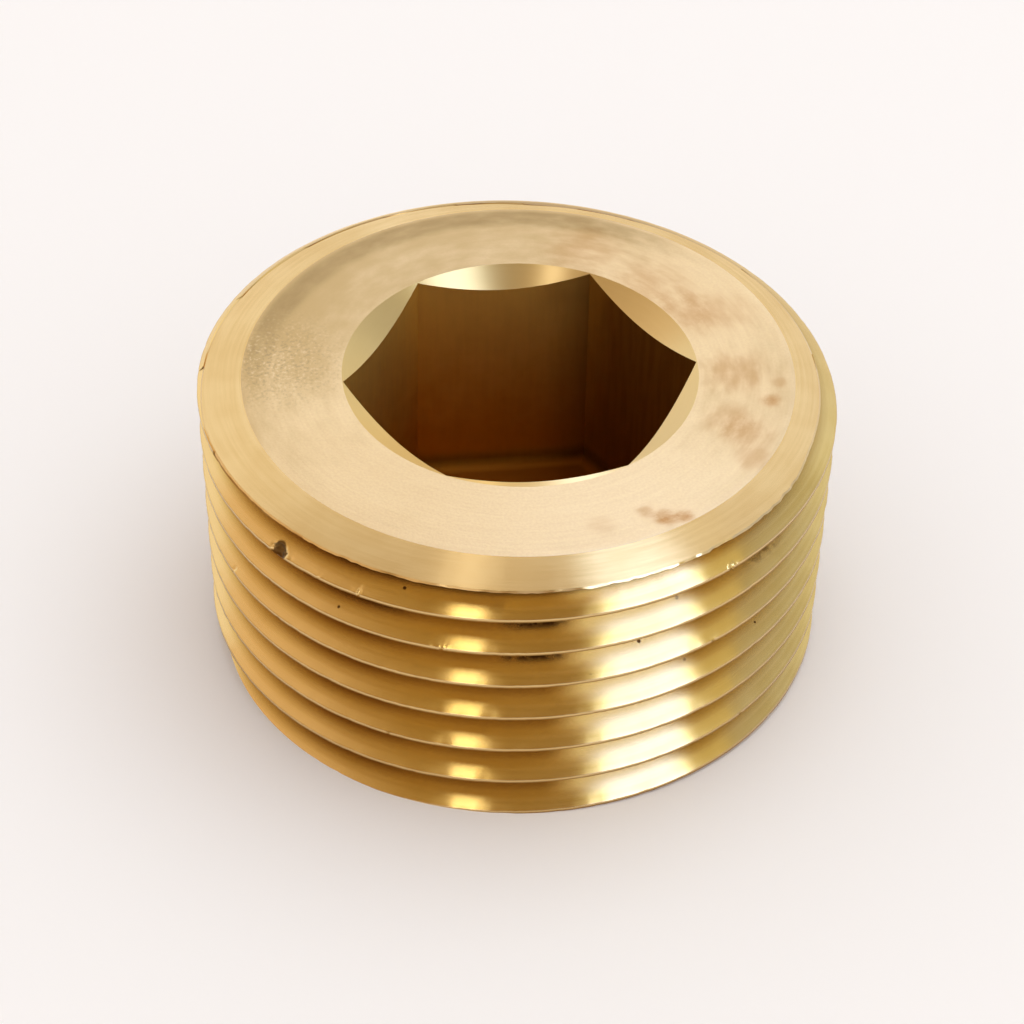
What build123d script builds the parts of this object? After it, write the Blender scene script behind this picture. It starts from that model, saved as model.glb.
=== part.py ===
from build123d import *
import math
import os

# Countersunk pipe plug, turned from one piece of brass.
# Millimetres, +Z up, origin at the middle of the small end, which the plug stands on.
# The front, where the thread's place is given, is the -Y side.

# Driving dimensions of the tapered pipe thread
PITCH = 1.8143              # 14 threads per inch
TAPER = 1 / 16              # on the diameter, per unit of length
LARGE_END_DIAMETER = 26.7   # over the crests, carried up to the face
CREST_FLAT_SHARE = 0.08     # of the pitch
ROOT_FLAT_SHARE = 0.06      # of the pitch
THREAD_ANGLE = 60           # between the two flanks, degrees
CREST_BELOW_FACE = 1.86     # middle of the first whole crest at the front

# Driving dimensions of the turned ends
HEIGHT = 12.8
FACE_DIAMETER = 22.7        # flat ring inside the bevel
BEVEL_ANGLE = 9             # below the face, degrees

# Driving dimensions of the key socket
KEY_SIZE = 12.7             # of the 1/2 inch key, across flats
KEY_CLEARANCE = 0.1         # across flats, so that the key slides in
KEY_TURN = 7                # of one corner from +X, degrees
FLOOR_THICKNESS = 2.4       # left under the socket
COUNTERSINK_ANGLE = 118     # whole cone at the mouth, as a drill's point leaves it, degrees
COUNTERSINK_MARGIN = 0.03   # on the radius, past the corners of the socket

# Allowances of the bar and the cutters, outside the metal that stays
SPARE_TURNS = 1             # of the groove, past each end of the plug
SPARE_BAR = 3               # pitches of bar, past each end of the plug
CUTTER_OVERSHOOT = 0.06     # of the thread cutter, past the crests
TOOL_REACH = 2.0            # of the other tools, past the metal

# Worked out from the driving dimensions
LARGE_RADIUS = LARGE_END_DIAMETER / 2
FACE_RADIUS = FACE_DIAMETER / 2
RADIUS_PER_HEIGHT = TAPER / 2
FLANK_SLOPE = math.tan(math.radians(THREAD_ANGLE / 2))
GROOVE_WIDTH = PITCH * (1 - CREST_FLAT_SHARE)
ROOT_WIDTH = PITCH * ROOT_FLAT_SHARE
GROOVE_DEPTH = (GROOVE_WIDTH - ROOT_WIDTH) / 2 / FLANK_SLOPE
KEY_CORNER_RADIUS = (KEY_SIZE + KEY_CLEARANCE) / 2 / math.cos(math.pi / 6)


def crest_radius(height):
    """Radius over the crests at a height above the small end."""
    return LARGE_RADIUS - (HEIGHT - height) * RADIUS_PER_HEIGHT


def turn(*outline):
    """Solid turned round the axis from (radius, height) points."""
    points = [(radius, 0, height) for radius, height in outline]
    return revolve(make_face(Polyline(*points, close=True)), Axis.Z)


def make_bar():
    """Tapered bar, longer than the plug at both ends."""
    low = -SPARE_BAR * PITCH
    high = HEIGHT + SPARE_BAR * PITCH
    return turn((0, low), (crest_radius(low), low), (crest_radius(high), high), (0, high))


def make_thread_cutter():
    """Right-hand groove wound up the cone, from below the small end to above the face."""
    front_height = HEIGHT - CREST_BELOW_FACE - PITCH / 2
    start = front_height - (math.ceil(front_height / PITCH) + SPARE_TURNS) * PITCH
    turns = math.ceil((HEIGHT - start) / PITCH) + SPARE_TURNS
    radius = crest_radius(start)
    cone_angle = math.degrees(math.atan(RADIUS_PER_HEIGHT))
    path = Helix(PITCH, turns * PITCH, radius, center=(0, 0, start), cone_angle=cone_angle)
    outer = radius + CUTTER_OVERSHOOT
    outer_half = GROOVE_WIDTH / 2 + CUTTER_OVERSHOOT * FLANK_SLOPE
    root = radius - GROOVE_DEPTH
    section = Polyline(
        (outer, 0, start - outer_half),
        (outer, 0, start + outer_half),
        (root, 0, start + ROOT_WIDTH / 2),
        (root, 0, start - ROOT_WIDTH / 2),
        close=True,
    )
    groove = sweep(make_face(section), path=path, is_frenet=True)
    return Rot(0, 0, -90) * groove


def make_trim():
    """Space between the two faced ends, with the shallow bevel round the upper one."""
    outside = LARGE_RADIUS + TOOL_REACH
    bevel_drop = (outside - FACE_RADIUS) * math.tan(math.radians(BEVEL_ANGLE))
    return turn((0, 0), (outside, 0), (outside, HEIGHT - bevel_drop), (FACE_RADIUS, HEIGHT), (0, HEIGHT))


def make_socket():
    """Hexagon for the key, with the cone that opens its mouth."""
    hexagon = RegularPolygon(KEY_CORNER_RADIUS, 6, rotation=KEY_TURN)
    key_hole = Pos(0, 0, FLOOR_THICKNESS) * extrude(hexagon, HEIGHT - FLOOR_THICKNESS + TOOL_REACH)
    cone_slope = 1 / math.tan(math.radians(COUNTERSINK_ANGLE / 2))
    mouth_radius = KEY_CORNER_RADIUS + COUNTERSINK_MARGIN
    point = HEIGHT - mouth_radius * cone_slope
    top = HEIGHT + TOOL_REACH * cone_slope
    return key_hole + turn((0, point), (mouth_radius + TOOL_REACH, top), (0, top))


plug = make_bar() - make_thread_cutter()
plug = plug & make_trim()
plug = plug - make_socket()

os.makedirs("parts", exist_ok=True)
export_step(plug, "parts/plug_body.step")
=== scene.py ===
# %% [markdown]
# # A brass pipe plug
# The real plug is one short piece of brass bar. It was turned to a gentle taper, threaded along its
# whole length, faced at both ends and bevelled round the upper face, and a hexagon socket was
# pressed into it for a key. This lesson models it again at a finer grain than the CAD solid, with
# its worn edges and nicks, gives it four brass finishes and lights it on a pale table.

import math

import bmesh
import bpy
from mathutils import Matrix, Vector, noise


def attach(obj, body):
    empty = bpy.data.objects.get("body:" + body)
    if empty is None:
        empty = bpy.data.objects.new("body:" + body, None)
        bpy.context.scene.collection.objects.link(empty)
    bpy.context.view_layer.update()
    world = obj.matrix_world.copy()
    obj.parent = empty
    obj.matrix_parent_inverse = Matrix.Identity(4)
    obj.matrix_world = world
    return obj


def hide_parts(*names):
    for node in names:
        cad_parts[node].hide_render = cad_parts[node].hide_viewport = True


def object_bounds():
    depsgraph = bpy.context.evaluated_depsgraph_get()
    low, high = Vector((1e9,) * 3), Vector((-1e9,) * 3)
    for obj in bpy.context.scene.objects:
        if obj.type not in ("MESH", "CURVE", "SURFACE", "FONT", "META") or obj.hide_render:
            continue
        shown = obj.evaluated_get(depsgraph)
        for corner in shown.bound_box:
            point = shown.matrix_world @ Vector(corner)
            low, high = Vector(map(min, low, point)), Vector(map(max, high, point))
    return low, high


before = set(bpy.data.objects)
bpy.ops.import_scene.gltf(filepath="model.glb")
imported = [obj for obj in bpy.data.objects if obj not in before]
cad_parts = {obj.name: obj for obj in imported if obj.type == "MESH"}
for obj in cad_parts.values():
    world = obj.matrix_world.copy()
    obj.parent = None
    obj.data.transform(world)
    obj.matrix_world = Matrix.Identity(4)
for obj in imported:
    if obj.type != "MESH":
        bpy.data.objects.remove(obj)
cad_low, cad_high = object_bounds()
MM = 0.001
print("CAD box in mm:", [round(side / MM, 2) for side in cad_high - cad_low])

# %% [markdown]
# ## Sizes
# Everything is modelled in millimetres and made metres at the very end, because mesh operators
# merge and cut more safely on numbers near one. The height comes from the frame. The thread is a
# standard tapered pipe thread, so its pitch, taper and form are known sizes.

# %% Sizes of the plug
HEIGHT = (cad_high.z - cad_low.z) / MM
PITCH = 25.4 / 14
RADIUS_PER_HEIGHT = 1 / 32
LARGE_RADIUS = 13.35
CREST_FLAT = 0.08 * PITCH
ROOT_FLAT = 0.06 * PITCH
FLANK_ANGLE = math.radians(30)
GROOVE_DEPTH = (PITCH - CREST_FLAT - ROOT_FLAT) / 2 / math.tan(FLANK_ANGLE)
CREST_BELOW_FACE = 1.86
FACE_RADIUS = 11.35
BEVEL_SLOPE = math.tan(math.radians(9))
SOCKET_SIZE = 12.8
SOCKET_TURN = math.radians(7)
SOCKET_FLOOR = 2.4
MOUTH_MARGIN = 0.03
MOUTH_RADIUS = SOCKET_SIZE / 2 / math.cos(math.pi / 6) + MOUTH_MARGIN
MOUTH_SLOPE = math.tan(math.radians(31))
FRONT = -math.pi / 2
print("groove depth in mm:", round(GROOVE_DEPTH, 3))

# %% [markdown]
# ## Camera
# The photograph was taken from close by with a long lens, looking down at the plug and tilted by
# about a degree. The camera is placed round the middle of the face, then turned until that point
# falls on the pixel where the photograph has it. The lens follows from how many pixels a
# millimetre covers.

# %% Camera
FRAME_PIXELS = 1024
CAMERA_DISTANCE = 170.0
CAMERA_ELEVATION = math.radians(38.65)
CAMERA_ROLL = math.radians(1.18)
PIXELS_PER_MM = 24.07
FACE_PIXEL = (518.4, 373.8)
TO_CAMERA = Vector((0, -math.cos(CAMERA_ELEVATION), math.sin(CAMERA_ELEVATION)))


def make_camera():
    data = bpy.data.cameras.new("camera")
    focal_pixels = PIXELS_PER_MM * CAMERA_DISTANCE
    data.lens = data.sensor_width * focal_pixels / FRAME_PIXELS
    data.clip_start = 0.01
    camera = bpy.data.objects.new("camera", data)
    bpy.context.scene.collection.objects.link(camera)
    bpy.context.scene.camera = camera
    face_centre = Vector((0, 0, HEIGHT)) * MM
    place = face_centre + TO_CAMERA * CAMERA_DISTANCE * MM
    turn = TO_CAMERA.to_track_quat("Z", "Y").to_matrix().to_4x4() @ Matrix.Rotation(CAMERA_ROLL, 4, "Z")
    across = math.atan((FRAME_PIXELS / 2 - FACE_PIXEL[0]) / focal_pixels)
    down = math.atan((FRAME_PIXELS / 2 - FACE_PIXEL[1]) / focal_pixels)
    aim = Matrix.Rotation(-across, 4, "Y") @ Matrix.Rotation(-down, 4, "X")
    camera.matrix_world = Matrix.Translation(place) @ turn @ aim
    return camera


camera = make_camera()
print("lens in mm:", round(camera.data.lens, 1))

# %% [markdown]
# ## The thread
# A screw thread is one small section wound round an axis. Its section here has a narrow flat crest,
# two flanks and a narrow flat root, one pitch tall. The flanks bulge by a few hundredths of a
# millimetre, as a worn tool leaves them, and that shades each of them from dark to bright. The spin
# operator winds one turn of the section: every step turns it a little and lifts it by the same share
# of the pitch. A turn ends exactly one pitch above its start, so copies of it stack up, and merging
# doubles joins them into one skin. The winding starts at a corner of the key socket, so that later
# rings have a point on each corner.

# %% Wind one turn
STEPS_PER_TURN = 360
SPARE_TURNS = 2
FLANK_CUTS = 5
BULGE = 0.05


def flank_bulge(depth):
    share = depth / GROOVE_DEPTH
    return 4 * BULGE * share * (1 - share)


def wind_turn(bm, crest_height):
    section = (
        (GROOVE_DEPTH, -PITCH / 2),
        (GROOVE_DEPTH, -PITCH / 2 + ROOT_FLAT / 2),
        (0, -CREST_FLAT / 2),
        (0, CREST_FLAT / 2),
        (GROOVE_DEPTH, PITCH / 2 - ROOT_FLAT / 2),
        (GROOVE_DEPTH, PITCH / 2),
    )
    points = [bm.verts.new((LARGE_RADIUS - depth, 0, crest_height + rise)) for depth, rise in section]
    lines = [bm.edges.new(pair) for pair in zip(points, points[1:])]
    bmesh.ops.subdivide_edges(bm, edges=[lines[1], lines[3]], cuts=FLANK_CUTS)
    for v in bm.verts:
        bulge = flank_bulge(LARGE_RADIUS - v.co.x)
        v.co.x += bulge * math.sin(FLANK_ANGLE)
        v.co.z += math.copysign(bulge * math.cos(FLANK_ANGLE), v.co.z - crest_height)
    bmesh.ops.rotate(bm, verts=bm.verts, matrix=Matrix.Rotation(SOCKET_TURN, 3, "Z"))
    bmesh.ops.spin(
        bm, geom=bm.verts[:] + bm.edges[:], axis=(0, 0, 1), angle=2 * math.pi,
        dvec=(0, 0, PITCH / STEPS_PER_TURN), steps=STEPS_PER_TURN,
    )


plug = bmesh.new()
top_crest = HEIGHT - CREST_BELOW_FACE + PITCH * (SOCKET_TURN - FRONT) / (2 * math.pi)
turns_down = math.ceil(top_crest / PITCH) + SPARE_TURNS
wind_turn(plug, top_crest - turns_down * PITCH)
print("one turn:", len(plug.faces), "faces")

# %% Stack the turns and taper them
MERGE_DISTANCE = 0.0005
one_turn = plug.verts[:] + plug.edges[:] + plug.faces[:]
for count in range(1, turns_down + SPARE_TURNS + 1):
    made = bmesh.ops.duplicate(plug, geom=one_turn)["geom"]
    raised = [g for g in made if isinstance(g, bmesh.types.BMVert)]
    bmesh.ops.translate(plug, verts=raised, vec=(0, 0, count * PITCH))
bmesh.ops.remove_doubles(plug, verts=plug.verts, dist=MERGE_DISTANCE)


def crest_radius(height):
    return LARGE_RADIUS - (HEIGHT - height) * RADIUS_PER_HEIGHT


for v in plug.verts:
    radius = v.co.xy.length
    v.co.xy *= (radius - LARGE_RADIUS + crest_radius(v.co.z)) / radius
print("wound thread:", len(plug.faces), "faces")

# %% [markdown]
# ## Facing and bevelling
# A lathe faces the small end flat and cuts the upper end as a shallow cone, and the thread runs out
# through both. A plane cut faces the small end. A cone is no plane, but if every point is first
# lifted by its distance from the axis times the cone's slope, the cone becomes one, and after the
# cut the points are let down again.

# %% Face and bevel
CUT_DISTANCE = 0.0001
FLATNESS = 0.001


def boundary(bm, test):
    return [e for e in bm.edges if e.is_boundary and all(test(v.co) for v in e.verts)]


def cut(bm, height, keep_above):
    bmesh.ops.bisect_plane(
        bm, geom=bm.verts[:] + bm.edges[:] + bm.faces[:], dist=CUT_DISTANCE, plane_co=(0, 0, height),
        plane_no=(0, 0, 1), clear_inner=keep_above, clear_outer=not keep_above,
    )


cut(plug, 0, keep_above=True)
for v in plug.verts:
    v.co.z += v.co.xy.length * BEVEL_SLOPE
cut(plug, HEIGHT + FACE_RADIUS * BEVEL_SLOPE, keep_above=False)
for v in plug.verts:
    v.co.z -= v.co.xy.length * BEVEL_SLOPE
small_end = boundary(plug, lambda co: abs(co.z) < FLATNESS)
rim = boundary(plug, lambda co: co.z > HEIGHT / 2)
print("small end:", len(small_end), "edges; rim:", len(rim), "edges")

# %% [markdown]
# ## The lip over the last groove
# Where the bevel runs over the last groove its edge is thin. The tool pushed some of that metal
# outwards and left a small ragged lip, from the left of the front to the right, where the groove
# leaves the bevel. The rim's points move out along the cone by that much, a little unevenly and never
# past the crests. They also drop a little below the cone, and the next ring starts a little further
# in, so that the lip gets a narrow sloping edge of its own, which catches the light. Each pair of
# angles, in degrees from the front, says where a change begins and where it is whole, and each wave
# has a height and a number of bumps in a millimetre.

# %% Push out the lip
LIP = 0.2
LIP_LIMIT = 13.29
LIP_EDGE = 0.06
LIP_LEFT_END = (-30, 0)
LIP_RIGHT_END = (72, 58)
RAGGED_ENDS = (78, 62)
RAGGED_WAVES = ((0.06, 2.6), (0.05, 7))
EDGE_UNEVENNESS = 0.9
EDGE_BUMPS = 3.7


def front_angle(co):
    return math.degrees(math.atan2(co.x, -co.y))


def ramp(value, low, high):
    return min(1, max(0, (value - low) / (high - low)))


def bevel_height(radius):
    return HEIGHT - (radius - FACE_RADIUS) * BEVEL_SLOPE


for v in {v for e in rim for v in e.verts}:
    angle = front_angle(v.co)
    ragged = ramp(abs(angle), *RAGGED_ENDS)
    reach = LIP * ramp(angle, *LIP_LEFT_END) * ramp(angle, *LIP_RIGHT_END)
    reach += ragged * sum(height * noise.noise(v.co * bumps) for height, bumps in RAGGED_WAVES)
    edge = LIP_EDGE * (1 + ragged * EDGE_UNEVENNESS * noise.noise(v.co * EDGE_BUMPS))
    radius = min(LIP_LIMIT, v.co.xy.length + reach)
    v.co = (*(v.co.xy.normalized() * radius), bevel_height(radius) - edge)
print("lip reaches out by", LIP, "mm at most")

# %% [markdown]
# ## Face, countersink and socket
# From the rim inwards the plug is a row of rings: the lip's edge, the bevel, the flat face, the
# countersink and the hexagon's wall. Each ring is the one before, extruded and put at a new radius
# and height. Two close rings where the bevel meets the face let smooth shading round that edge off,
# and a few at the socket's floor do the same there. The hexagon's radius changes with the angle, and
# where the countersink's cone meets it the edge dips in the middle of each flat. Every ring of faces
# gets the number of its finish as it is made. The socket was pressed in slightly off the axis.

# %% Grow the rings
THREAD, BEVEL, FACE, SOCKET = range(4)
SOFT_EDGE = 0.15
FLOOR_CURVE = 0.5
FLOOR_CURVE_STEPS = 5
SOCKET_SHIFT = (0.08, 0.16, 0)


def next_ring(bm, edges, finish, place):
    made = bmesh.ops.extrude_edge_only(bm, edges=edges)["geom"]
    verts = {g for g in made if isinstance(g, bmesh.types.BMVert)}
    for v in verts:
        radius, height = place(v.co)
        v.co = (*(v.co.xy.normalized() * radius), height)
    for f in {f for v in verts for f in v.link_faces}:
        f.material_index = finish
    return [g for g in made if isinstance(g, bmesh.types.BMEdge) and set(g.verts) <= verts]


def socket_radius(co):
    from_flat = (math.atan2(co.y, co.x) - SOCKET_TURN) % (math.pi / 3) - math.pi / 6
    return SOCKET_SIZE / 2 / math.cos(from_flat)


def socket_mouth(co):
    radius = socket_radius(co)
    return radius, HEIGHT - (MOUTH_RADIUS - radius) * MOUTH_SLOPE


def floor_curve(turn):
    inset = FLOOR_CURVE * (1 - math.cos(turn))
    height = SOCKET_FLOOR + FLOOR_CURVE * (1 - math.sin(turn))
    return lambda co: (socket_radius(co) - inset, height)


def lip_edge(co):
    radius = co.xy.length - LIP_EDGE
    return radius, bevel_height(radius)


soft_start = FACE_RADIUS + SOFT_EDGE
ring = next_ring(plug, rim, BEVEL, lip_edge)
ring = next_ring(plug, ring, BEVEL, lambda co: (soft_start, bevel_height(soft_start)))
ring = next_ring(plug, ring, FACE, lambda co: (FACE_RADIUS - SOFT_EDGE, HEIGHT))
ring = next_ring(plug, ring, FACE, lambda co: (MOUTH_RADIUS, HEIGHT))
ring = next_ring(plug, ring, BEVEL, socket_mouth)
for step in range(FLOOR_CURVE_STEPS + 1):
    ring = next_ring(plug, ring, SOCKET, floor_curve(math.pi / 2 * step / FLOOR_CURVE_STEPS))
for f in bmesh.ops.edgeloop_fill(plug, edges=ring)["faces"]:
    f.material_index = SOCKET
for f in bmesh.ops.edgeloop_fill(plug, edges=small_end)["faces"]:
    f.material_index = BEVEL
socket_verts = [v for v in plug.verts if v.co.xy.length < MOUTH_RADIUS + SOFT_EDGE]
bmesh.ops.translate(plug, verts=socket_verts, vec=SOCKET_SHIFT)
bmesh.ops.recalc_face_normals(plug, faces=plug.faces)
open_edges = sum(not e.is_manifold for e in plug.edges)
print("plug:", len(plug.faces), "faces,", open_edges, "open edges")

# %% [markdown]
# ## Dents and nicks
# The plug has lain among others: one crest has a dent, others have small nicks, and the crests and
# the lower edge aren't quite even. The edges that should stay crisp are marked sharp while the form is
# still clean. The faces round each dent are divided first, so that there are points to move, and then
# a falloff with some noise in it presses them in and raises a little metal beside them. Each dent is
# given by its angle from the front, its depth below the face, its half length round the plug, its
# half width, how deep it is and how high the raised metal stands.

# %% Divide the dented places and mark sharp edges
SHARP = math.radians(25)
DIVIDED_SIZES = 2.2
DENT_CUTS = 3
DENTS = (
    (-45.8, 1.98, 0.5, 0.2, 0.22, 0.03),
    (-27.7, 1.9, 0.07, 0.16, 0.1, 0.05),
    (40.7, 1.62, 0.16, 0.1, 0.06, 0.06),
    (-12.5, 3.72, 0.14, 0.08, 0.05, 0.03),
    (-36.0, 2.0, 0.09, 0.08, 0.05, 0.03),
    (-22.5, 9.25, 0.09, 0.1, 0.06, 0.04),
    (38.0, 5.3, 0.08, 0.08, 0.05, 0.03),
    (47.0, 10.7, 0.1, 0.08, 0.05, 0.03),
    (-62.0, 5.7, 0.12, 0.1, 0.06, 0.03),
    (115.0, 4.9, 0.3, 0.16, 0.14, 0.04),
    (165.0, 8.2, 0.2, 0.12, 0.1, 0.03),
    (-140.0, 2.6, 0.25, 0.15, 0.12, 0.03),
)


def on_thread(angle, below, depth=0.0):
    turn = math.radians(angle)
    radius = crest_radius(HEIGHT - below) - depth
    return Vector((radius * math.sin(turn), -radius * math.cos(turn), HEIGHT - below))


for angle, below, length, width, depth, lip in DENTS:
    centre = on_thread(angle, below)
    divided = DIVIDED_SIZES * max(length, width)
    near = [f for f in plug.faces if (f.calc_center_median() - centre).length < divided]
    edges = list({e for f in near for e in f.edges})
    bmesh.ops.subdivide_edges(plug, edges=edges, cuts=DENT_CUTS, use_grid_fill=True)
for f in plug.faces:
    f.smooth = True
for e in plug.edges:
    e.smooth = e.calc_face_angle(0) < SHARP
print("sharp edges:", sum(not e.smooth for e in plug.edges))

# %% Press the dents
MOVED_SIZES = 3
DENT_UNEVENNESS = 0.35
DENT_WALL = (1.1, 0.3)
RAISED_AT = 1.1
RAISED_WIDTH = 0.3
RAISED_SHARE = 0.4
HIGHEST_RAISED = 0.02
for angle, below, length, width, depth, lip in DENTS:
    centre = on_thread(angle, below)
    for v in plug.verts:
        apart = v.co - centre
        if apart.length > MOVED_SIZES * max(length, width):
            continue
        along = math.radians(front_angle(v.co) - angle) * LARGE_RADIUS
        reach = math.hypot(along / length, apart.z / width) + DENT_UNEVENNESS * noise.noise(v.co * 5)
        beside = max(0, 1 - abs(reach - RAISED_AT) / RAISED_WIDTH)
        push = lip * beside * max(0, noise.noise(v.co * 4) + RAISED_SHARE)
        push -= depth * ramp(reach, *DENT_WALL)
        radius = v.co.xy.length
        v.co.xy *= min(radius + push, crest_radius(v.co.z) + HIGHEST_RAISED) / radius
print("dents:", len(DENTS), "and", len(plug.faces), "faces")

# %% Wear the crests and the lower edge
CREST_DEPTH = 0.15
LONG_WEAR = 0.03
SHORT_WEAR = 0.06
most_worn = 0
for v in plug.verts:
    radius = v.co.xy.length
    if crest_radius(v.co.z) - radius > CREST_DEPTH:
        continue
    worn = max(0, noise.noise(v.co * 1.9)) * LONG_WEAR + max(0, noise.noise(v.co * 6.3) - 0.3) * SHORT_WEAR
    v.co.xy *= (radius - worn) / radius
    most_worn = max(most_worn, worn)
print("crests worn by up to", round(most_worn, 3), "mm")

# %% [markdown]
# ## One object
# The finished mesh is scaled from millimetres to metres and put at the origin, unturned, where the
# CAD part has its own. The frame is told that it moves with the root body and takes the place of the
# CAD solid.

# %% Make the piece
bmesh.ops.scale(plug, verts=plug.verts, vec=(MM, MM, MM))
mesh = bpy.data.meshes.new("plug")
plug.to_mesh(mesh)
plug.free()
piece = bpy.data.objects.new("plug", mesh)
bpy.context.scene.collection.objects.link(piece)
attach(piece, "root")
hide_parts("plug_body")
print("piece:", len(mesh.vertices), "points and", len(mesh.polygons), "faces")

# %% [markdown]
# ## Sums of shader nodes
# A shader is a graph of small nodes, and most of them only add, multiply or blend. This class wraps
# one output of such a graph, so that Python's own operators make the nodes. One method adds any other
# kind of node. The method used most is rise, a soft step: it is 0 at its first number and 1 at its
# second, whichever of them is larger.

# %% Shader sums
class Shade:
    """A socket of a node tree, so that shader sums are written like any other sum."""

    def __init__(self, tree, socket):
        self.tree = tree
        self.socket = socket

    def node(self, kind, settings, values, out=0):
        made = self.tree.nodes.new("ShaderNode" + kind)
        for name, setting in settings.items():
            setattr(made, name, setting)
        for name, value in values.items():
            if isinstance(value, Shade):
                self.tree.links.new(value.socket, made.inputs[name])
            else:
                made.inputs[name].default_value = value
        return Shade(self.tree, made.outputs[out])

    def out(self, name):
        return Shade(self.tree, self.socket.node.outputs[name])

    def math(self, operation, a, b=0.0):
        return self.node("Math", {"operation": operation}, {0: a, 1: b})

    def __add__(self, other):
        return self.math("ADD", self, other)

    __radd__ = __add__

    def __sub__(self, other):
        return self.math("SUBTRACT", self, other)

    def __rsub__(self, other):
        return self.math("SUBTRACT", other, self)

    def __mul__(self, other):
        return self.math("MULTIPLY", self, other)

    __rmul__ = __mul__

    def __truediv__(self, other):
        return self.math("DIVIDE", self, other)

    def __pow__(self, other):
        return self.math("POWER", self, other)

    def rise(self, low, high):
        ends = {"Value": self, "From Min": low, "From Max": high}
        return self.node("MapRange", {"interpolation_type": "SMOOTHSTEP"}, ends)

    def mix(self, a, b):
        return self.node("Mix", {"data_type": "RGBA"}, {0: self, 6: a, 7: b}, out=2)

    def grain(self, scale, detail=2.0):
        return self.node("TexNoise", {}, {"Vector": self, "Scale": scale, "Detail": detail})

    def dots(self, scale, size, share):
        cell = self.node("TexVoronoi", {}, {"Vector": self, "Scale": scale})
        chosen = cell.node("SeparateColor", {}, {0: cell.out("Color")})
        spot = (size * chosen.out("Green") - cell).rise(-0.02, 0.04)
        return spot * chosen.rise(1 - share, 1.001 - share)


# %% [markdown]
# ## Four finishes of one brass
# The whole plug is one metal, but each cut left its own surface, so there are four materials. Their
# patterns are sums of the distance from the axis, the height and noise, all in millimetres from the
# object's own coordinates. A lathe tool leaves fine rings, and a surface with fine rings shines along
# a line across them. That is the anisotropic setting: its direction follows the circle round the
# object's axis by default and is turned a quarter here.

# %% A brass material and its coordinates
def new_brass(name, anisotropic):
    brass = bpy.data.materials.new(name)
    brass.use_nodes = True
    mesh.materials.append(brass)
    tree = brass.node_tree
    shader = tree.nodes["Principled BSDF"]
    shader.inputs["Metallic"].default_value = 1
    shader.inputs["Anisotropic"].default_value = anisotropic
    shader.inputs["Anisotropic Rotation"].default_value = 0.25
    metres = Shade(tree, tree.nodes.new("ShaderNodeTexCoord").outputs["Object"])
    place = metres.node("VectorMath", {"operation": "SCALE"}, {0: metres, "Scale": 1 / MM})
    return shader, place


def polar(place):
    x = place.node("SeparateXYZ", {}, {0: place})
    y = x.out("Y")
    radius = (x * x + y * y) ** 0.5
    return x, y, x.out("Z"), radius


def join(a, b, c):
    return a.node("CombineXYZ", {}, {0: a, 1: b, 2: c})


def feed(shader, name, shade):
    shade.tree.links.new(shade.socket, shader.inputs[name])


def lay_bump(shader, height, tallest):
    values = {"Height": height, "Distance": tallest * MM, "Strength": 1.0}
    feed(shader, "Normal", height.node("Bump", {}, values))


def distance(place, point):
    return place.node("VectorMath", {"operation": "DISTANCE"}, {0: place, 1: point}, out="Value")


def smudge(place, x, y, size):
    return (1 - distance(place, (x, y, HEIGHT)) / size).rise(0, 1)


# %% [markdown]
# ## Thread
# The flanks are bright where the threading tool cut them. Deep in the groove the colour is painted
# darker, partly as dirt and partly as painted shade, most of all on the left. Under each crest, under
# the lip, in the dent and in patches of the two upper turns it is painted dark as painted shade. The
# crests are rubbed pale. How deep a point lies below the crests tells these places apart. On the left
# the flanks near the crests are painted lighter, a painted reflection, and on the right of the front,
# where the window's glint falls, the groove is painted bright, a painted highlight. A few pits in the
# bar show as dark dots. Each is given by its angle from the front, its depth below the face and its
# size, and the flank's slope then tells how deep in the groove it lies.

# %% Thread
THREAD_DARK = (0.7, 0.47, 0.13, 1)
THREAD_LIGHT = (0.8, 0.57, 0.2, 1)
PALE = (0.74, 0.52, 0.23, 1)
# The rubbed colour is a painted reflection, the clean colour a painted highlight, and the deep and grime
# colours carry painted shade as well as dirt.
LEFT_SHEEN = (0.95, 0.7, 0.36, 1)
GLINT_FILL = (1.0, 0.88, 0.55, 1)
GROOVE_DIRT_AND_SHADE = (0.3, 0.14, 0.025, 1)
GRIME_AND_SHADE = (0.1, 0.045, 0.012, 1)
PITS = (
    (-20.0, 1.45, 0.07), (31.8, 2.88, 0.08), (24.4, 4.7, 0.08), (34.5, 6.54, 0.07), (33.0, 5.9, 0.05),
    (-14.5, 6.2, 0.06), (52.0, 6.6, 0.05), (-33.0, 3.5, 0.06), (14.0, 5.2, 0.05), (62.0, 4.1, 0.07),
    (100.0, 3.2, 0.09), (150.0, 7.1, 0.08), (-95.0, 6.2, 0.09), (-160.0, 4.4, 0.08),
)


def flank_depth(angle, below):
    to_crest = (CREST_BELOW_FACE - PITCH * angle / 360 - CREST_FLAT / 2 - below) % PITCH
    depth = to_crest / math.tan(FLANK_ANGLE)
    return depth - flank_bulge(depth) / math.sin(FLANK_ANGLE)


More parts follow.
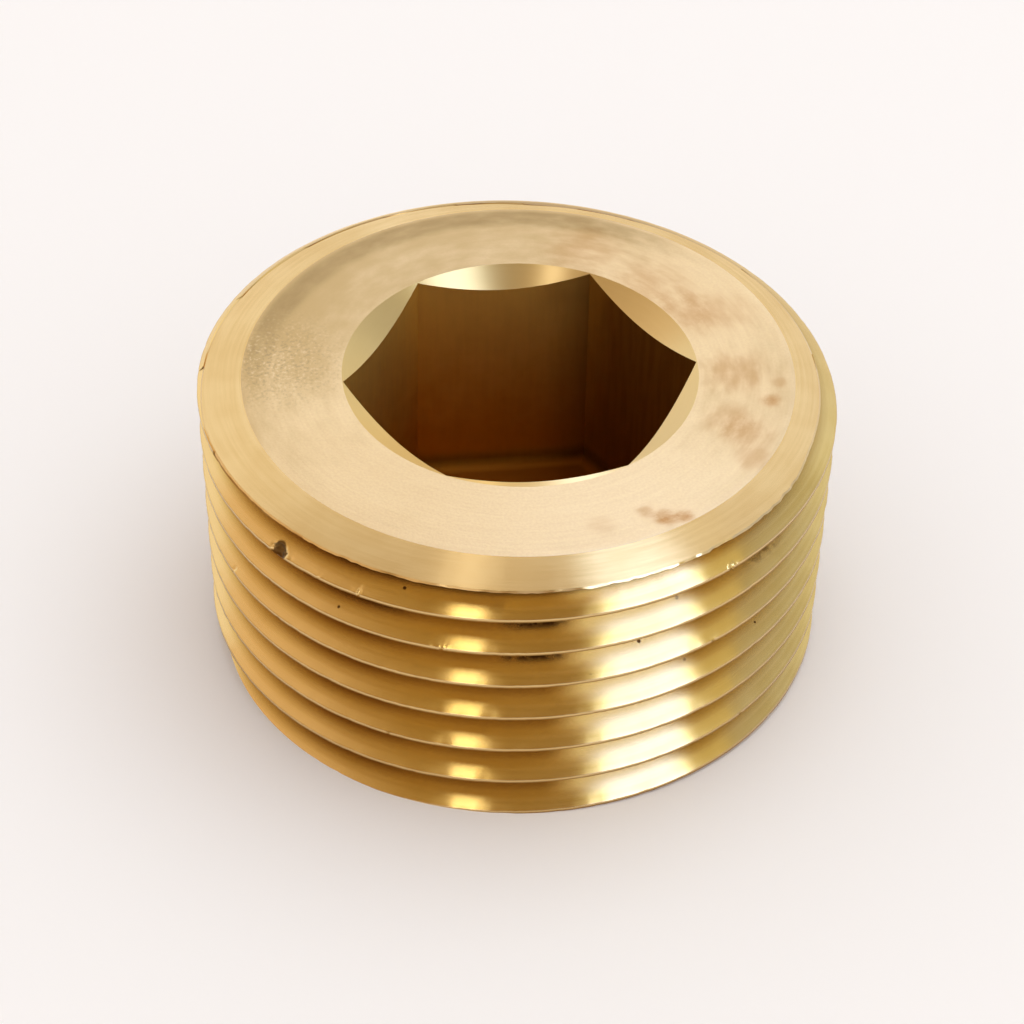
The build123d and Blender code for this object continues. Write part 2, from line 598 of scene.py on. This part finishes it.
def finish_thread():
    shader, place = new_brass("thread_brass", 1)
    x, y, z, radius = polar(place)
    depth = z * RADIUS_PER_HEIGHT + crest_radius(0) - radius
    below = HEIGHT - z
    round_x, round_y = x / radius, y / radius
    front = (0 - round_y).rise(0, 0.4)
    streaks = join(depth * 9, round_x * 2, round_y * 2).grain(1.0, 3)
    cloud = place.grain(0.45, 3)
    torn = place.grain(3.0, 4).rise(0.3, 0.6)
    colour = (streaks * 0.5 + cloud * 0.5).rise(0.3, 0.7).mix(THREAD_DARK, THREAD_LIGHT)
    # The window's glint zone: the groove here is painted bright, a painted highlight, with less painted
    # shade.
    glint_zone = round_x.rise(0.1, 0.25) * round_x.rise(0.62, 0.5) * front
    left = round_x.rise(-0.2, -0.65)
    # Darker deep in the groove: partly dirt, partly painted shade, most on the left.
    dirt_and_shade = (0.45 + 0.3 * cloud) * (1 - glint_zone) + 0.6 * left
    # Lighter flanks near the crests on the left: a painted reflection.
    colour = (depth.rise(0.6, 0.15) * left * 0.6).mix(colour, LEFT_SHEEN)
    colour = (depth.rise(0.25, 0.8) * glint_zone * 0.7).mix(colour, GLINT_FILL)
    colour = (depth.rise(0.25, 1.1) * dirt_and_shade).mix(colour, GROOVE_DIRT_AND_SHADE)
    colour = (1 - depth / 0.05).rise(0, 0.7).mix(colour, PALE)
    # A thin painted shadow just under each crest.
    turns = y.math("ARCTAN2", x, 0 - y) / (2 * math.pi)
    phase = y.math("FRACT", (below - CREST_BELOW_FACE) / PITCH + turns + 0.5) - 0.5
    crest_shadow = phase.rise(-0.005, 0.02) * phase.rise(0.2, 0.1) * depth.rise(0.3, 0.1)
    colour = (crest_shadow * 0.85).mix(colour, GROOVE_DIRT_AND_SHADE)
    # Painted shade under the lip, in patches of the two upper turns and in the dent, joined with real
    # pits.
    lip_shadow = below.rise(1.75, 1.25) * depth.rise(0.75, 1.1) * front
    shade_patch = round_x.rise(-0.06, 0.02) * round_x.rise(0.2, 0.12) * depth.rise(0.75, 1.05)
    shade_patch = shade_patch * below.rise(1.9, 2.2) * below.rise(5.6, 5.2) * front
    side_shade = round_x.rise(-0.75, -0.65) * round_x.rise(-0.3, -0.45) * depth.rise(0.7, 1.1)
    side_shade = side_shade + round_x.rise(0.72, 0.79) * round_x.rise(0.88, 0.82) * depth.rise(0.3, 0.8)
    side_shade = side_shade * below.rise(1.9, 2.3) * below.rise(4.4, 3.6) * front
    marks_and_shade = lip_shadow * 0.8 + (shade_patch + side_shade * 0.7) * torn
    for angle, low, size in PITS:
        pit = distance(place, on_thread(angle, low, flank_depth(angle, low)))
        marks_and_shade = marks_and_shade + (size * 1.3 - pit).rise(0, size * 0.5) * torn
    dent_angle, dent_below = DENTS[0][:2]
    dent = distance(place, on_thread(dent_angle, dent_below, DENTS[0][4] / 2))
    marks_and_shade = marks_and_shade + (0.42 - dent + (torn - 0.5) * 0.15).rise(0, 0.12) * 0.9
    colour = marks_and_shade.mix(colour, GRIME_AND_SHADE)
    feed(shader, "Base Color", colour)
    feed(shader, "Roughness", 0.22 + 0.05 * streaks + 0.1 * marks_and_shade)
    print("thread finish:", len(place.tree.nodes), "nodes")


finish_thread()

# %% [markdown]
# ## Bevel and countersink
# The same lathe cut both cones after the thread, so they shine like it but are paler and cleaner.
# The rings of the tool show as fine changes of tone, and a few small nicks as dark specks. The
# countersink lies well inside the face, so the distance from the axis tells it from the bevel. It is
# brighter and less smooth, and its left side is the dullest. There its colour is also painted a
# little darker and warmer, as painted shade that tones down the window's glint.

# %% Bevel and countersink
BEVEL_DARK = (0.75, 0.52, 0.23, 1)
BEVEL_LIGHT = (0.84, 0.615, 0.305, 1)
COUNTERSINK_BRIGHT = (1.0, 0.77, 0.38, 1)
COUNTERSINK_LEFT_SHADE = (0.98, 0.74, 0.3, 1)
SPECK = (0.3, 0.19, 0.07, 1)


def finish_bevel():
    shader, place = new_brass("bevel_brass", 1)
    x, y, z, radius = polar(place)
    rings = join(radius * 7, x / radius * 3, y / radius * 3).grain(1.0, 3)
    cloud = place.grain(0.5, 3)
    colour = (rings * 0.5 + cloud * 0.5).rise(0.3, 0.7).mix(BEVEL_DARK, BEVEL_LIGHT)
    inner = radius.rise(9, 8)
    dull = x.rise(2, -1)
    # On the left the countersink's colour is painted a little darker and warmer: painted shade on the
    # window's glint.
    colour = (inner * 0.7).mix(colour, dull.mix(COUNTERSINK_BRIGHT, COUNTERSINK_LEFT_SHADE))
    specks = place.dots(1.3, 0.08, 0.12)
    colour = (specks * 0.7).mix(colour, SPECK)
    feed(shader, "Base Color", colour)
    feed(shader, "Roughness", 0.18 + 0.08 * rings + (0.2 + 0.07 * dull) * inner)
    print("bevel finish:", len(place.tree.nodes), "nodes")


finish_bevel()

# %% [markdown]
# ## Face
# The face is duller than the rest: it was sawn off or faced with a coarse tool and has begun to
# tarnish, brown towards the back and speckled on the left. Rusty brown stains lie on the right and
# near the front edge. Each stain is a soft round spot, torn up by noise, and is given by its place,
# its size and its strength.

# %% Face
FACE_DARK = (0.905, 0.7, 0.42, 1)
FACE_LIGHT = (0.975, 0.79, 0.49, 1)
TARNISH = (0.6, 0.42, 0.18, 1)
WORN_RING = (0.46, 0.32, 0.14, 1)
GRIT_DARK = (0.36, 0.26, 0.15, 1)
GRIT_LIGHT = (1.0, 0.86, 0.6, 1)
STAIN = (0.54, 0.24, 0.05, 1)
STAINS = (
    (10.4, -1.4, 0.4, 0.7), (10.85, -0.2, 0.3, 0.3), (9.0, 0.4, 1.3, 0.4), (8.6, -2.75, 0.9, 0.35),
    (9.4, -3.5, 0.9, 0.45), (9.6, -5.2, 0.8, 0.35), (8.35, 4.4, 1.3, 0.3), (7.0, 4.5, 1.1, 0.35),
    (5.5, 6.2, 1.5, 0.35), (2.8, 8.5, 1.5, 0.3), (5.2, -8.7, 0.35, 0.5), (6.0, -8.9, 0.45, 0.8),
    (6.7, -8.8, 0.4, 0.85), (3.4, -9.5, 0.5, 0.2),
)


def finish_face():
    shader, place = new_brass("face_brass", 0.3)
    x, y, z, radius = polar(place)
    rings = join(radius * 7, x / radius * 3, y / radius * 3).grain(1.0, 3)
    sand = place.grain(9.0, 2)
    cloud = join(radius * 0.6, x / radius * 2.5, y / radius * 2.5).grain(1.0, 4)
    torn = join(radius * 1.8, x / radius * 8, y / radius * 8).grain(1.0, 5)
    colour = (rings * 0.4 + sand * 0.6).rise(0.25, 0.75).mix(FACE_DARK, FACE_LIGHT)
    backward = (y * 0.078 - x * 0.06).rise(-0.1, 1.0)
    tarnish = backward * 0.8 + x.rise(-5, -11) * 0.2 + x.rise(3, 11) * y.rise(6, 0) * 0.3
    tarnish = tarnish + (cloud - 0.5) * 0.7 + (torn - 0.5) * 0.5
    colour = (tarnish.rise(0.0, 1.0) * 0.85).mix(colour, TARNISH)
    worn_ring = radius.rise(9.8, 10.7) * radius.rise(11.6, 11.2) * (y * 0.09 - x * 0.05).rise(0.2, 0.9)
    colour = (worn_ring * (0.3 + torn)).rise(0.1, 1.2).mix(colour, WORN_RING)
    for sx, sy, size, strength in STAINS:
        near = smudge(place, sx, sy, size * 2.2)
        mark = (near + (torn - 0.5) * 2.0 + (sand - 0.5) * 0.6).rise(0.0, 1.3)
        colour = (mark * near.rise(0, 0.8) * strength).mix(colour, STAIN)
    left = smudge(place, -10.2, 0.4, 4.5)
    grit = join(x * 0.8 + y * 0.6, y * 0.8 - x * 0.6, torn * 0.8).grain(6.5, 4)
    colour = (left * grit.rise(0.52, 0.66) * 0.4).mix(colour, GRIT_DARK)
    colour = (left * grit.rise(0.44, 0.34) * 0.35).mix(colour, GRIT_LIGHT)
    specks = place.dots(0.8, 0.06, 0.16)
    colour = (specks * 0.6).mix(colour, GRIT_DARK)
    feed(shader, "Base Color", colour)
    feed(shader, "Roughness", 0.45 + 0.08 * sand + 0.06 * cloud)
    lay_bump(shader, sand * 0.6 + rings * 0.4, 0.012)
    print("face finish:", len(place.tree.nodes), "nodes")


finish_face()

# %% [markdown]
# ## Socket
# The press tool drew the metal down, which left faint upright streaks. The walls are painted darker
# and redder towards the floor and on the right, and the floor and the rounded corner at their foot
# are painted dark: all of this is painted shade.

# %% Socket
SOCKET_UPPER = (1.0, 0.67, 0.16, 1)
SOCKET_LOWER_SHADE = (0.64, 0.29, 0.017, 1)
SOCKET_SHADE_AND_STREAKS = (0.17, 0.065, 0.006, 1)
CORNER_SHADE = (0.09, 0.035, 0.003, 1)
FLOOR_SHADE = (0.2, 0.06, 0.004, 1)


def finish_socket():
    shader, place = new_brass("socket_brass", 0)
    x, y, z, radius = polar(place)
    drawn = join(x * 4, y * 4, z * 0.35).grain(1.0, 3)
    cloud = place.grain(0.5, 3)
    # Darker and redder towards the floor: painted shade.
    low = (1 - z / HEIGHT + (cloud - 0.5) * 0.4).rise(0.0, 0.75)
    colour = low.mix(SOCKET_UPPER, SOCKET_LOWER_SHADE)
    # Darker on the right wall and near the floor: painted shade; the faint upright streaks are the wall's
    # own.
    shade_patch = (x * 0.16 - 0.1).rise(0, 0.6) * 0.88
    foot = (SOCKET_FLOOR + 1.2 - z).rise(0, 1)
    colour = (shade_patch + foot * 0.6 + drawn.rise(0.35, 0.7) * 0.05).mix(colour, SOCKET_SHADE_AND_STREAKS)
    # The rounded corner and the floor are painted dark: painted shade.
    corner = (SOCKET_FLOOR + 1.0 - z).rise(0, 0.5) * (z - SOCKET_FLOOR).rise(0, 0.06)
    colour = (corner * 0.25).mix(colour, CORNER_SHADE)
    colour = ((SOCKET_FLOOR + 0.4 - z).rise(0, 0.3) * 0.8).mix(colour, FLOOR_SHADE)
    feed(shader, "Base Color", colour)
    feed(shader, "Roughness", 0.42 + 0.12 * cloud + 0.2 * foot)
    print("socket finish:", len(place.tree.nodes), "nodes")


finish_socket()
print("finishes:", [m.name for m in mesh.materials])

# %% [markdown]
# ## Table
# The plug stands on a white, slightly warm sheet. A large square at the height of the small end is
# enough.

# %% Table
TABLE_HALF = 1.5
TABLE_WHITE = (0.965, 0.955, 0.95, 1)
sheet = bmesh.new()
bmesh.ops.create_grid(sheet, x_segments=1, y_segments=1, size=TABLE_HALF)
table_mesh = bpy.data.meshes.new("table")
sheet.to_mesh(table_mesh)
sheet.free()
table = bpy.data.objects.new("table", table_mesh)
bpy.context.scene.collection.objects.link(table)
paper = bpy.data.materials.new("table_white")
paper.use_nodes = True
paper_shader = paper.node_tree.nodes["Principled BSDF"]
paper_shader.inputs["Base Color"].default_value = TABLE_WHITE
paper_shader.inputs["Roughness"].default_value = 0.9
table_mesh.materials.append(paper)
print("table:", 2 * TABLE_HALF, "m across")

# %% [markdown]
# ## Light
# Metal shows what is round it more than its own colour. The room above this plug is dim and brown,
# which makes the thread dark, its left is warmer than its right, and the wall behind it, which the
# flat face mirrors, is bright. A tall window on the right gives the broad upright glint on the thread.
# Its edges are lines along which one number stays the same: how far a direction points right, divided
# by how far it points to the front of the camera's own mirror direction. Seen in an upright cylinder
# such lines are upright. The world holds that room for mirrored rays, and an even pale light for the
# table. Area lamps do the rest: a soft one overhead gives the shadow, and two small ones give the
# narrow glints on the left of the thread and of the bevel.

# %% Room
LEFT_SIDE = (0.85, 0.64, 0.42, 1)
RIGHT_SIDE = (0.66, 0.7, 0.84, 1)
CEILING = (0.33, 0.2, 0.05, 1)
WALL_MIDDLE = (1.05, 1.02, 0.97, 1)
WALL_RIGHT = (0.9, 0.98, 1.2, 1)
scene = bpy.context.scene
scene.view_settings.view_transform = "Standard"
world = bpy.data.worlds.new("room")
scene.world = world
world.use_nodes = True
tree = world.node_tree
direction = Shade(tree, tree.nodes.new("ShaderNodeTexCoord").outputs["Generated"])
mirrored = Shade(tree, tree.nodes.new("ShaderNodeLightPath").outputs["Is Glossy Ray"])
x = direction.node("SeparateXYZ", {}, {0: direction})
y, z = x.out("Y"), x.out("Z")
room = x.rise(-0.6, 0.6).mix(LEFT_SIDE, RIGHT_SIDE)
room = (z - x * x * 0.3).rise(0.48, 0.82).mix(room, CEILING)
wall = x.rise(0.0, 0.7).mix(WALL_MIDDLE, WALL_RIGHT)
room = y.rise(0.38, 0.58).mix(room, wall)
print("bare room made of", len(tree.nodes), "nodes")

# %% Window
CURTAIN = (0.82, 0.76, 0.55, 1)
SKY_ABOVE = (3.1, 3.8, 6.2, 1)
SKY_BEHIND = (1.25, 1.5, 2.1, 1)
TABLE_LIGHT = (0.88, 0.81, 0.77, 1)
slope = x / (math.cos(CAMERA_ELEVATION) - y)
opening = y.rise(0.72, 0.66) * z.rise(0.3, 0.5)
curtain = slope.rise(0.19, 0.23) * slope.rise(0.98, 0.92) * opening * y.rise(0.5, 0.3)
room = curtain.mix(room, CURTAIN)
daylight = y.rise(0.1, 0.45).mix(SKY_ABOVE, SKY_BEHIND)
room = (slope.rise(0.21, 0.33) * slope.rise(0.68, 0.64) * opening).mix(room, daylight)
room = mirrored.mix(TABLE_LIGHT, room)
tree.links.new(room.socket, tree.nodes["Background"].inputs["Color"])
print("room with its window made of", len(tree.nodes), "nodes")


# %% Lamps
def softbox(name, azimuth, elevation, away, size, power, colour=(1, 1, 1)):
    data = bpy.data.lights.new(name, "AREA")
    data.shape = "RECTANGLE"
    data.size, data.size_y = size
    data.energy = power
    data.color = colour
    lamp = bpy.data.objects.new(name, data)
    turn, lift = math.radians(azimuth), math.radians(elevation)
    aim = Vector((math.sin(turn) * math.cos(lift), -math.cos(turn) * math.cos(lift), math.sin(lift)))
    upright = aim.cross(Vector((0, 0, 1)).cross(aim + TO_CAMERA)).normalized()
    facing = Matrix((upright.cross(aim), upright, aim)).transposed().to_4x4()
    lamp.matrix_world = Matrix.Translation(aim * away) @ facing
    scene.collection.objects.link(lamp)
    return lamp


table_lamp = softbox("table_lamp", 115, 74, 0.5, (0.45, 0.45), 0.51, (0.93, 1.1, 1.2))
table_lamp.visible_glossy = False
glints = (
    softbox("lamp_left", -36.3, 72.5, 0.6, (0.066, 0.2), 0.29),
    softbox("lamp_back", 183.5, 56, 0.5, (0.02, 0.16), 0.007),
)
for lamp in glints:
    lamp.visible_diffuse = False
